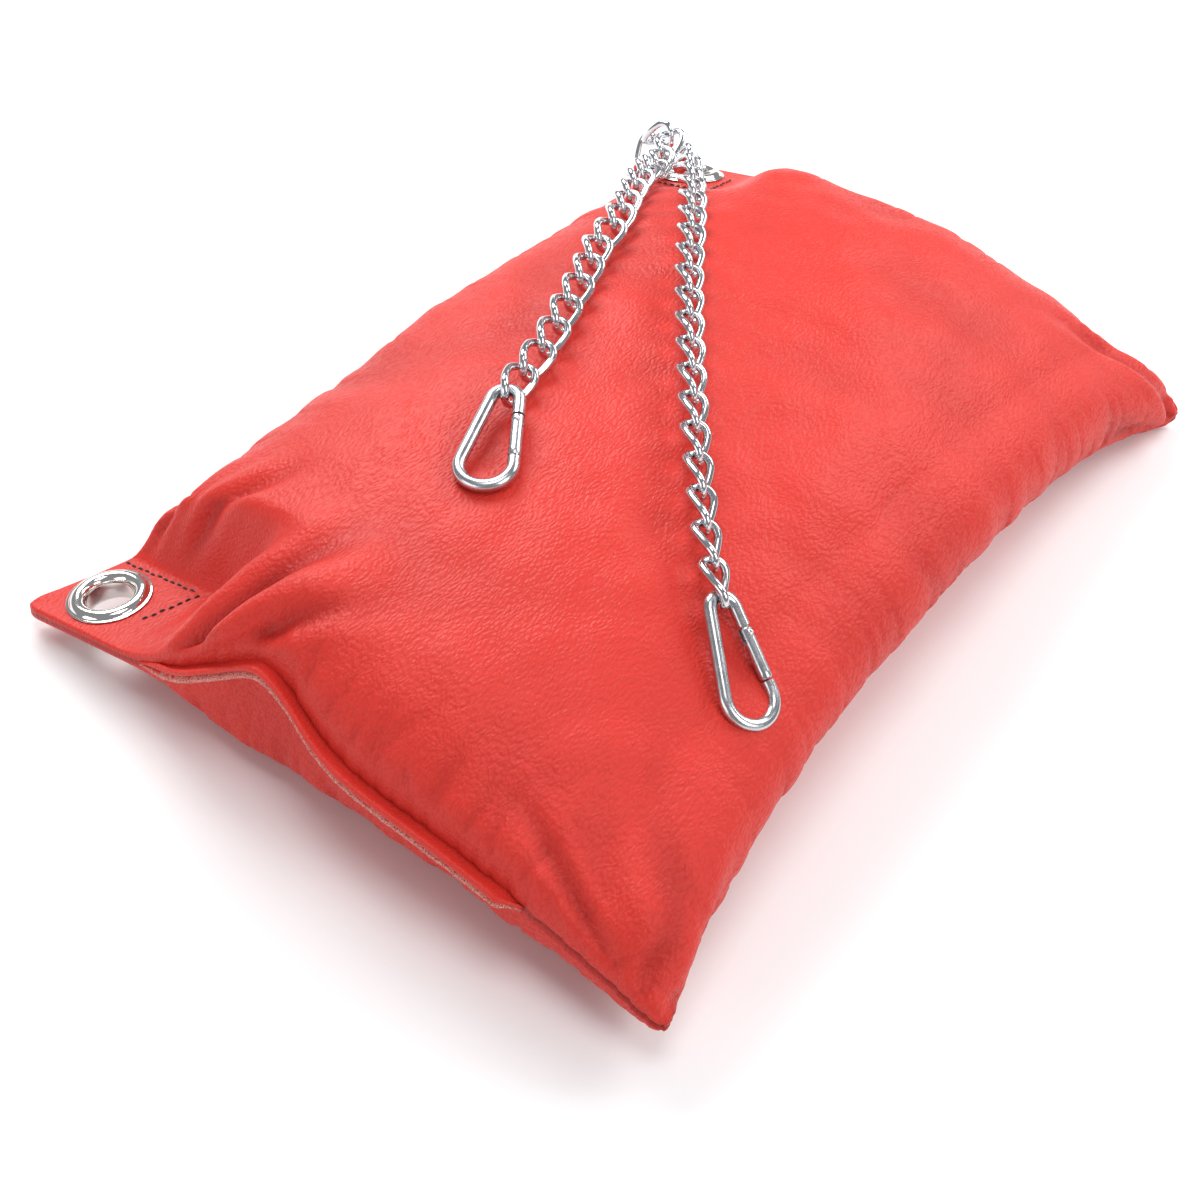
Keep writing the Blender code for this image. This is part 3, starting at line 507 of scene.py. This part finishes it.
# ------------------------------------------------------------------ closing flange
# The near short side is folded over and stitched from outside after stuffing: a rolled upper edge, and below it the
# pale fibrous cut edge of the lower panel.
FLANGE_U = np.linspace(-0.565, 0.595, 240)
FLANGE_OUT, FLANGE_OUT_AT_ENDS, ROLL_R, TUCKED_IN = 0.0068, 0.0012, 0.0016, 0.0100
FRAY_DEPTH, FUZZ_DEPTH = 0.0006, 0.0004
flange_x, flange_y, flange_z, _half = seam_level(FLANGE_U, np.full_like(FLANGE_U, -1.0))
run = np.linspace(0, 1, len(FLANGE_U))
crest = np.exp(-(((FLANGE_U - EAR_AT + 0.02) / 0.060) ** 2))
wave = np.array([noise.noise(Vector((6.0 * float(u), 3.0, 0.0))) for u in FLANGE_U])
flange_rise = 0.0030 * crest + 0.0016 * wave
widening, narrowing = smooth(run / 0.16), smooth((1 - run) / 0.05)
flange_out = FLANGE_OUT_AT_ENDS + (FLANGE_OUT - FLANGE_OUT_AT_ENDS) * widening * narrowing + 0.0008 * wave * widening
thinning = 0.25 + 0.75 * smooth(run / 0.06) * smooth((1 - run) / 0.06)
flange_line = np.stack([flange_x, flange_y, flange_z + flange_rise], -1) + ORIGIN


def flange_layer(name, outlines, material):
    """A closed outline (outward, upward) at each step of the flange line."""
    count = len(outlines[0])
    pts = [
        p + np.array([0, -a, b * thin])
        for p, outline, thin in zip(flange_line, outlines, thinning)
        for a, b in outline
    ]
    quads = [
        (k * count + i, k * count + (i + 1) % count, (k + 1) * count + (i + 1) % count, (k + 1) * count + i)
        for k in range(len(outlines) - 1)
        for i in range(count)
    ]
    quads += [tuple(range(count)), tuple(range(len(pts) - count, len(pts)))]
    return mesh_piece(name, pts, quads, material)


rolled, cut = [], []
for k, out_by in enumerate(flange_out):
    arc = [(out_by - ROLL_R + ROLL_R * math.cos(a), 0.0020 + ROLL_R * math.sin(a)) for a in np.linspace(-1.9, 1.75, 9)]
    inner = [(-TUCKED_IN, 0.0032), (-TUCKED_IN, 0.0002), (out_by * 0.35, -0.0002)]
    rolled.append(inner + arc + [(out_by * 0.45, 0.0028), (out_by * 0.2, 0.0021)])
    at = float(FLANGE_U[k])
    fray = FRAY_DEPTH * noise.noise(Vector((at * 300, 7.0, 0.0)))
    fray += FUZZ_DEPTH * noise.noise(Vector((at * 900, 2.0, 0.0)))
    edge = out_by * 0.80 + fray
    cut.append(
        [
            (-TUCKED_IN, -0.0004),
            (-TUCKED_IN, -0.0030),
            (edge * 0.6, -0.0042),
            (edge - 0.0002, -0.0046),
            (edge + 0.0003, -0.0034),
            (edge - 0.0001, -0.0021),
            (edge * 0.6, -0.0010),
        ]
    )
rolled_edge = flange_layer("flange_rolled_edge", rolled, red_leather)
raw_hide, tree, shader = new_material("raw_hide_edge", (0.74, 0.26, 0.21), 0.0, 0.9)
place = node(tree, "ShaderNodeTexCoord", (-900, 0))
fibre = node(tree, "ShaderNodeTexNoise", (-650, 0), Scale=1500.0, Detail=4.0)
fibre_ramp = node(tree, "ShaderNodeValToRGB", (-400, 0))
fibre_stops = ((0.35, (0.42, 0.04, 0.03, 1)), (0.62, (0.82, 0.38, 0.32, 1)))
for stop, (at, colour) in zip(fibre_ramp.color_ramp.elements, fibre_stops):
    stop.position, stop.color = at, colour
fibre_lift = node(tree, "ShaderNodeBump", (-400, -300), Distance=0.0004, Strength=0.9)
tree.links.new(place.outputs["Object"], fibre.inputs["Vector"])
tree.links.new(fibre.outputs["Fac"], fibre_ramp.inputs["Fac"])
tree.links.new(fibre_ramp.outputs["Color"], shader.inputs["Base Color"])
tree.links.new(fibre.outputs["Fac"], fibre_lift.inputs["Height"])
tree.links.new(fibre_lift.outputs["Normal"], shader.inputs["Normal"])
cut_edge = flange_layer("flange_cut_edge", cut, raw_hide)
cut_edge.data.materials.append(red_leather)
pale_from = flange_line[:, 1] - flange_out * 0.62  # only the outermost part is bare hide
for poly in cut_edge.data.polygons:
    poly.material_index = 0 if poly.center.y < np.interp(poly.center.x, flange_line[:, 0], pale_from) else 1
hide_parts("closing_strip")
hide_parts("closing_strip")
for piece, finish in ((rolled_edge, "red_leather"), (cut_edge, "leather_allowance")):
    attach(piece, "bag")

# ------------------------------------------------------------------ stitching
# Black waxed thread in an L across each corner flap, sewn as single stitches through both panels.
STITCH_PITCH, STITCH_SHARE, STITCH_SIDES = 0.0042, 0.86, 8
THREAD_R, STITCH_END_SINK = 0.00050, 0.0011
LEG_INSET, NEAR_LEG_END, ROW_INSET = 0.014, 0.050, 0.012


def stitches(name, line, up, thread, long_share, material):
    """Separate capsule-shaped stitches along a line, each a little sunk at both ends."""
    line = np.array(line)
    steps = np.concatenate([[0], np.cumsum(np.linalg.norm(np.diff(line, axis=0), axis=1))])
    pts, quads = [], []
    for s in np.arange(STITCH_PITCH / 2, steps[-1] - STITCH_PITCH / 2, STITCH_PITCH):
        rings = []
        for share in (-0.5, -0.42, -0.2, 0.0, 0.2, 0.42, 0.5):
            at = s + share * STITCH_PITCH * long_share
            p = np.array([np.interp(at, steps, line[:, k]) for k in range(3)])
            q = np.array([np.interp(at + 0.0004, steps, line[:, k]) for k in range(3)])
            along = unit(q - p)
            side = unit(np.cross(up, along))
            girth = thread * (1.0 - 0.55 * (abs(share) * 2) ** 4)
            p = p + up * (thread * 0.8 - STITCH_END_SINK * (abs(share) * 2) ** 3) + side * 0.0003 * math.sin(900 * s)
            angles = np.arange(STITCH_SIDES) * math.pi / (STITCH_SIDES / 2)
            rings.append([p + girth * (side * math.cos(a) + up * math.sin(a)) for a in angles])
        base = len(pts)
        for ring in rings:
            pts += ring
        for k in range(len(rings) - 1):
            for i in range(STITCH_SIDES):
                a, b = base + k * STITCH_SIDES + i, base + k * STITCH_SIDES + (i + 1) % STITCH_SIDES
                quads.append((a, b, b + STITCH_SIDES, a + STITCH_SIDES))
        quads += [tuple(range(base, base + STITCH_SIDES)), tuple(range(len(pts) - STITCH_SIDES, len(pts)))]
    return mesh_piece(name, pts, quads, material)


black_thread, tree, shader = new_material("black_thread", (0.012, 0.010, 0.010), 0.0, 0.6)
place = node(tree, "ShaderNodeTexCoord", (-900, 0))
twist = node(tree, "ShaderNodeTexWave", (-650, 0), Scale=900.0, bands_direction="DIAGONAL")
twist_ramp = node(tree, "ShaderNodeValToRGB", (-400, 100))
twist_ramp.color_ramp.elements[0].color = (0.006, 0.005, 0.005, 1)
twist_ramp.color_ramp.elements[1].color = (0.035, 0.028, 0.028, 1)
twist_lift = node(tree, "ShaderNodeBump", (-400, -200), Distance=0.0002, Strength=0.8)
tree.links.new(place.outputs["Object"], twist.inputs["Vector"])
tree.links.new(twist.outputs["Fac"], twist_ramp.inputs["Fac"])
tree.links.new(twist_ramp.outputs["Color"], shader.inputs["Base Color"])
tree.links.new(twist.outputs["Fac"], twist_lift.inputs["Height"])
tree.links.new(twist_lift.outputs["Normal"], shader.inputs["Normal"])
shader.inputs["Sheen Weight"].default_value = 0.3
for flap, cad_node in (("A", "near_corner_stitching"), ("D", "far_corner_stitching")):
    edge_v, inner_v = (-1, V_NEAR - ROW_INSET) if flap == "A" else (1, V_FAR + ROW_INSET)
    u_in = U_FLAP - LEG_INSET
    u_out = U_FLAP - (NEAR_LEG_END if flap == "A" else LEG_INSET)
    across_flap = [(u, inner_v) for u in np.linspace(-0.985, u_in, 40)]
    down_flap = [
        (u_in + (u_out - u_in) * s, inner_v + (edge_v * 0.93 - inner_v) * s) for s in np.linspace(0, 1, 40)
    ]
    _c, _x, _y, flap_up = flap_axes(flap)
    for k, leg in enumerate((across_flap, down_flap)):
        line = []
        for u, v in leg:
            x, y, z, space = seam_level(np.array(float(u)), np.array(float(v)))
            line.append(np.array([float(x), float(y), float(z)]) + ORIGIN + flap_up * (float(space) - 0.0001))
        row = stitches(f"{cad_node}_row_{k + 1}", line, flap_up, THREAD_R, STITCH_SHARE, black_thread)
        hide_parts(cad_node)
        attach(row, "bag")

# ------------------------------------------------------------------ eyelets
# Pressed brass, bright nickel plated: a thin flat rim on the leather, a rolled dome, and a barrel clenched over a
# washer.
nickel, tree, shader = new_material("bright_nickel", (0.83, 0.81, 0.78), 1.0, 0.07)
wear = bpy.data.node_groups.new("handled_metal", "ShaderNodeTree")
wear.interface.new_socket("Position", in_out="INPUT", socket_type="NodeSocketVector")
for socket_name, start_value in (("Smooth", 0.1), ("Rubbed", 0.3), ("Marks per metre", 120.0)):
    wear.interface.new_socket(socket_name, in_out="INPUT", socket_type="NodeSocketFloat").default_value = start_value
for socket_name in ("Roughness", "Height"):
    wear.interface.new_socket(socket_name, in_out="OUTPUT", socket_type="NodeSocketFloat")
into = node(wear, "NodeGroupInput", (-700, 0))
out = node(wear, "NodeGroupOutput", (500, 0))
smears = node(wear, "ShaderNodeTexNoise", (-400, 100), Detail=5.0, Roughness=0.65)
pits = node(wear, "ShaderNodeTexNoise", (-400, -250), Scale=1800.0, Detail=2.0)
span = node(wear, "ShaderNodeMapRange", (100, 100))
span.inputs["From Min"].default_value, span.inputs["From Max"].default_value = 0.35, 0.75
wear.links.new(into.outputs["Position"], smears.inputs["Vector"])
wear.links.new(into.outputs["Marks per metre"], smears.inputs["Scale"])
wear.links.new(into.outputs["Position"], pits.inputs["Vector"])
wear.links.new(smears.outputs["Fac"], span.inputs["Value"])
wear.links.new(into.outputs["Smooth"], span.inputs["To Min"])
wear.links.new(into.outputs["Rubbed"], span.inputs["To Max"])
wear.links.new(span.outputs["Result"], out.inputs["Roughness"])
wear.links.new(pits.outputs["Fac"], out.inputs["Height"])


def handled(tree, shader, smooth_to, rubbed_to, marks, bump):
    """Smears of wear in the roughness, and pits too fine to see one by one."""
    place = node(tree, "ShaderNodeTexCoord", (-800, 0))
    marks_on = node(tree, "ShaderNodeGroup", (-550, 0), node_tree=wear)
    for socket_name, value in (("Smooth", smooth_to), ("Rubbed", rubbed_to), ("Marks per metre", marks)):
        marks_on.inputs[socket_name].default_value = value
    lift = node(tree, "ShaderNodeBump", (-250, -200), Distance=0.00005, Strength=bump)
    tree.links.new(place.outputs["Object"], marks_on.inputs["Position"])
    tree.links.new(marks_on.outputs["Roughness"], shader.inputs["Roughness"])
    tree.links.new(marks_on.outputs["Height"], lift.inputs["Height"])
    tree.links.new(lift.outputs["Normal"], shader.inputs["Normal"])


handled(tree, shader, 0.06, 0.13, 90.0, 0.01)
MM = 1000
EYELET_SIDES = 64
# radius and height in millimetres from the middle of the flap: bore, dome, rim, barrel and clenched end
EYELET_CURVE = [
    *((11.0, -4.6), (11.0, 2.0), (11.25, 3.9), (11.9, 5.35), (13.1, 6.45), (14.7, 6.85), (16.3, 6.55), (17.6, 5.7)),
    *((18.25, 4.7), (18.5, 4.35), (19.7, 4.25), (20.0, 4.0), (19.9, 3.72)),
    *((13.2, 3.6), (12.3, 2.9), (12.2, -4.6)),
    *((12.6, -5.1), (14.6, -5.25), (14.9, -5.7), (14.4, -6.2), (12.2, -6.4), (11.3, -5.7)),
]


def placed(origin, x, y, z):
    """The matrix that puts a piece's own axes at a place."""
    return Matrix([[float(x[i]), float(y[i]), float(z[i]), float(origin[i])] for i in range(3)] + [[0, 0, 0, 1]])


def turned(name, profile, around, material):
    """A closed profile of (radius, height) turned round its Z axis."""
    count = len(profile)
    pts = [(r * math.cos(a), r * math.sin(a), z) for a in np.arange(around) * 2 * math.pi / around for r, z in profile]
    quads = []
    for k in range(around):
        base, following = k * count, (k + 1) % around * count
        quads += [(base + i, base + (i + 1) % count, following + (i + 1) % count, following + i) for i in range(count)]
    return mesh_piece(name, pts, quads, material)


def move_mesh(piece, matrix):
    piece.data.transform(matrix)
    piece.data.update()


def finer(piece, levels):
    rounder = piece.modifiers.new("rounder", "SUBSURF")
    rounder.levels = rounder.render_levels = levels


for flap, side in (("A", "near"), ("D", "far")):
    centre, x_way, y_way, flap_up = flap_axes(flap)
    ring = turned(f"{side}_eyelet_ring", [(r / MM, z / MM) for r, z in EYELET_CURVE], EYELET_SIDES, nickel)
    move_mesh(ring, placed(centre, x_way, y_way, flap_up))
    finer(ring, 1)
    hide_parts(f"{side}_eyelet")
    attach(ring, "bag")
    washer = frame["nodes"][f"{side}_eyelet_washer"]
    washer.data.materials.clear()
    washer.data.materials.append(nickel)

# ------------------------------------------------------------------ curb chain
# 44 links of round steel wire, each bent to a loop, twisted a quarter turn and butt welded, zinc plated. One link
# stands in the far eyelet; 21 run to the right hook and 22 loop round the flap's edge and run to the left hook.
LINK_WIRE, LINK_GAP, LINK_END_R, LINK_TWIST = 0.0038, 0.0006, 0.0066, math.radians(90)
LINK_LENGTH = LINK_PITCH + LINK_WIRE + LINK_GAP
LINK_SIDES, LINK_END_STEPS = 12, 15
zinc, tree, shader = new_material("zinc_plated_chain", (0.66, 0.67, 0.69), 1.0, 0.16)
handled(tree, shader, 0.07, 0.20, 260.0, 0.15)


def tube(line, radius, sides, closed):
    """Points and quads of a round section carried along a line without twist."""
    line = np.array(line, float)
    count = len(line)
    ahead = np.roll(line, -1, 0) - np.roll(line, 1, 0)
    if not closed:
        ahead[0], ahead[-1] = line[1] - line[0], line[-1] - line[-2]
    ahead = unit(ahead)
    side = unit(np.cross(ahead[0], [0.31, 0.17, 0.93]))
    frames = []
    for way in ahead:
        side = unit(side - way * (side @ way))
        frames.append((side, np.cross(way, side)))
    turn = 0.0
    if closed:
        last = unit(frames[-1][0] - ahead[0] * (frames[-1][0] @ ahead[0]))
        turn = math.atan2(float(np.cross(frames[0][0], last) @ ahead[0]), float(frames[0][0] @ last))
    radii = np.broadcast_to(radius, (count,))
    pts = []
    for k, (p, (a, b)) in enumerate(zip(line, frames)):
        spin = -turn * k / count
        angles = np.arange(sides) * 2 * math.pi / sides
        pts += [p + radii[k] * (a * math.cos(t + spin) + b * math.sin(t + spin)) for t in angles]
    quads = []
    for k in range(count if closed else count - 1):
        base, following = k * sides, (k + 1) % count * sides
        quads += [(base + i, base + (i + 1) % sides, following + (i + 1) % sides, following + i) for i in range(sides)]
    if not closed:
        quads += [tuple(range(sides)), tuple(range(len(pts) - sides, len(pts)))]
    return pts, quads


link_line = []
for centre_x, start_angle in ((LINK_END_R, 90), (LINK_LENGTH - LINK_END_R, 270)):
    for a in np.linspace(start_angle, start_angle + 180, LINK_END_STEPS):
        link_line.append((centre_x + LINK_END_R * math.cos(math.radians(a)), LINK_END_R * math.sin(math.radians(a))))
    reach, side = link_line[-1]
    toward = LINK_LENGTH - 2 * LINK_END_R if start_angle == 90 else 2 * LINK_END_R - LINK_LENGTH
    link_line += [(reach + toward * share, side) for share in (0.25, 0.5, 0.75)]
twisted = []
for x, side in link_line:
    turn = LINK_TWIST * x / LINK_LENGTH
    twisted.append((x, -side * math.cos(turn), side * math.sin(turn)))
link_points, link_quads = tube(twisted, LINK_WIRE / 2, LINK_SIDES, True)


def add_chain_link(name, near, along, normal, body):
    """One link, from the middle of its near wire."""
    piece = mesh_piece(name + "_wire", link_points, link_quads, zinc)
    move_mesh(piece, placed(near, along, np.cross(normal, along), normal))
    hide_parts(name)
    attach(piece, body)


centre, _x, _y, flap_up = flap_axes("D")
EYELET_LINK_TURN = math.radians(5)
in_plane = np.array([math.cos(EYELET_LINK_TURN), math.sin(EYELET_LINK_TURN), 0.0])
in_plane = unit(in_plane - flap_up * (in_plane @ flap_up))
add_chain_link("chain_link_eyelet", centre - flap_up * LINK_BELOW_FLAP, flap_up, np.cross(in_plane, flap_up), "bag")
for strand, count in (("right", 21), ("left", 22)):
    for k in range(1, count + 1):
        name = f"chain_{strand}_link_{k:02d}"
        hinge = joints["hinge_" + name]
        near, wire_way = np.array(hinge["pos_m"]), unit(hinge["axis"])
        corners = np.unique(np.round([v.co for v in frame["nodes"][name].data.vertices], 6), axis=0)
        along = corners.mean(0) - near
        along = unit(along - wire_way * (along @ wire_way))
        add_chain_link(name, near, along, np.cross(wire_way, along), name + "_body")

# ------------------------------------------------------------------ snap hooks
# Pear-shaped spring hooks bent from 6 mm zinc plated wire. A gate with a forked root turns on a rivet and shuts
# against the cut nose of the wire.
HOOK_WIRE, HOOK_LENGTH = 0.0060, 0.0560
NARROW_R, WIDE_R = 0.0065, 0.0120
GATE_ROOT, GATE_NOSE = 0.0126, 0.0333
HOOK_SIDES, RIVET_SIDES, KEEN_EDGE = 18, 24, math.radians(35)
# radius and height of a rivet through the wire, with a low domed head at each end
RIVET_CURVE = [(0.0002, 0.0037), (0.0010, 0.00355), (0.0016, 0.0031), (0.0017, 0.0026), (0.0010, 0.0026)]
RIVET_CURVE += [(r, -z) for r, z in reversed(RIVET_CURVE)]
hook_zinc, tree, shader = new_material("zinc_plated_hook", (0.58, 0.59, 0.61), 1.0, 0.26)
handled(tree, shader, 0.18, 0.36, 150.0, 0.35)
narrow = np.array([NARROW_R, NARROW_R - WIDE_R])
wide = np.array([HOOK_LENGTH - WIDE_R, 0.0])
lean = math.atan2(*(wide - narrow)[::-1]) + math.asin((WIDE_R - NARROW_R) / np.linalg.norm(wide - narrow))
out_way = np.array([-math.sin(lean), math.cos(lean)])
gate_way = np.array([math.cos(lean), math.sin(lean)])
rivet_at = narrow + out_way * NARROW_R + gate_way * GATE_ROOT
nose_at = narrow + out_way * NARROW_R + gate_way * GATE_NOSE


def bow(middle, radius, start, end, steps):
    """Points along an arc of the bent wire."""
    return [middle + radius * np.array([math.cos(a), math.sin(a)]) for a in np.linspace(start, end, steps)]


tilt = math.atan2(out_way[1], out_way[0])
back_from, back_by = wide + np.array([0, -WIDE_R]), narrow + np.array([0, -NARROW_R]) - wide - np.array([0, -WIDE_R])
straight = [back_from + back_by * s for s in (0.2, 0.4, 0.6, 0.8)]
hook_line = [nose_at + gate_way * s for s in (0.0006, 0.0022, 0.0045)]
hook_line += bow(wide, WIDE_R, tilt, -math.pi / 2, 28) + straight
hook_line += bow(narrow, NARROW_R, -math.pi / 2, tilt - 2 * math.pi, 22)
hook_line += [rivet_at - gate_way * s for s in (0.0080, 0.0052, 0.0036)]


def flat_block(name, along_from, along_to, wide_half, high_half, material):
    """A block on the gate line beside the rivet, used to cut or to join."""
    pts = []
    for z in (-high_half, high_half):
        for a, b in ((along_from, -wide_half), (along_to, -wide_half), (along_to, wide_half), (along_from, wide_half)):
            p = rivet_at + gate_way * a + out_way * b
            pts.append((p[0], p[1], z))
    sides = [(0, 3, 2, 1), (4, 5, 6, 7), (0, 1, 5, 4), (1, 2, 6, 5), (2, 3, 7, 6), (3, 0, 4, 7)]
    return mesh_piece(name, pts, sides, material, False)


def combine(piece, tool, how):
    """Joins the tool to the piece or cuts it away, then removes the tool."""
    step = piece.modifiers.new(how.lower(), "BOOLEAN")
    step.operation, step.solver, step.object = how, "EXACT", tool
    made = bpy.data.meshes.new_from_object(piece.evaluated_get(bpy.context.evaluated_depsgraph_get()))
    piece.modifiers.clear()
    piece.data = made
    bpy.data.objects.remove(tool)


for side in ("right", "left"):
    swing, gate_hinge = joints[f"{side}_hook_swing"], joints[f"{side}_gate_hinge"]
    hook_up = -unit(gate_hinge["axis"])
    y_way = -unit(swing["axis"])
    x_way = np.cross(y_way, hook_up)
    origin = np.array(swing["pos_m"]) - y_way * (NARROW_R - WIDE_R)
    hook_place = placed(origin, x_way, y_way, hook_up)
    body_points, body_quads = tube([(x, y, 0) for x, y in hook_line], HOOK_WIRE / 2, HOOK_SIDES, False)
    body = mesh_piece(f"{side}_hook_wire", body_points, body_quads, hook_zinc)
    combine(body, flat_block("tongue", -0.0050, 0.0018, 0.0018, 0.0009, hook_zinc), "UNION")
    gate_long = GATE_NOSE - GATE_ROOT
    gate_steps = np.concatenate([[-0.0030], np.linspace(-0.0022, gate_long - 0.0011, 10), [gate_long - 0.0003]])
    gate_line = [rivet_at + gate_way * s for s in gate_steps]
    gate_radii = np.array([HOOK_WIRE / 2 - 0.0006] + [HOOK_WIRE / 2] * 10 + [HOOK_WIRE / 2 - 0.0005])
    gate_points, gate_quads = tube([(x, y, 0) for x, y in gate_line], gate_radii, HOOK_SIDES, False)
    gate = mesh_piece(f"{side}_gate_bar", gate_points, gate_quads, hook_zinc)
    combine(gate, flat_block("slot", -0.0080, 0.0042, 0.0060, 0.0013, hook_zinc), "DIFFERENCE")
    rivet = turned(f"{side}_rivet_heads", RIVET_CURVE, RIVET_SIDES, hook_zinc)
    move_mesh(rivet, Matrix.Translation((float(rivet_at[0]), float(rivet_at[1]), 0)))
    for piece, cad_node, body_name in (
        (body, f"{side}_hook_body", f"{side}_hook"),
        (rivet, f"{side}_gate_rivet", f"{side}_hook"),
        (gate, f"{side}_gate", f"{side}_gate_body"),
    ):
        move_mesh(piece, hook_place)
        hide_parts(cad_node)
        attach(piece, body_name)
    for piece in (body, gate):
        piece.data.polygons.foreach_set("use_smooth", [True] * len(piece.data.polygons))
        piece.data.set_sharp_from_angle(angle=KEEN_EDGE)
